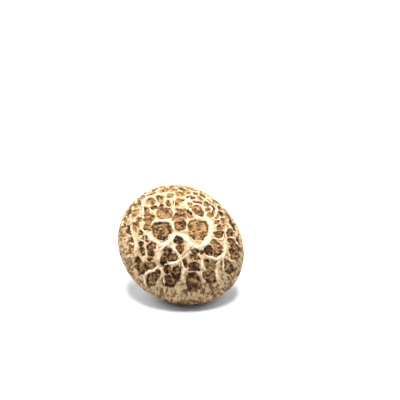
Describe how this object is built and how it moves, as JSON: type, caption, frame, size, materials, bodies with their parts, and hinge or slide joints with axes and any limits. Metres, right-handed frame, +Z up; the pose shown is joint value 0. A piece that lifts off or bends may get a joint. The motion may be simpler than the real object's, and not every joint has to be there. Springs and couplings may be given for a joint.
{
  "type": "shiitake mushroom",
  "caption": "Whole shiitake mushroom lying on its cap rim and cut stem: domed cap with cracked, netted skin, rolled margin, radial gills and a short flared stem.",
  "frame": {"origin": "centre of the bounding box's bottom, on the surface that the mushroom lies on", "axes": "+Z up; the cap's crown faces -Y and up, tilted 38 degrees from upright, and the cut end of the stem faces +Y and down; +X is across the cap"},
  "size_m": [0.0604, 0.0518, 0.0439],
  "materials": {
    "skin": "dry matt mushroom skin, tan-brown scales in a pale cream cracked net",
    "gills": "matt cream gill blades",
    "stem": "dry fibrous golden-tan stem with a cream cut end"
  },
  "bodies": {
    "root": {"shiitake_mushroom": "skin"}
  },
  "joints": []
}
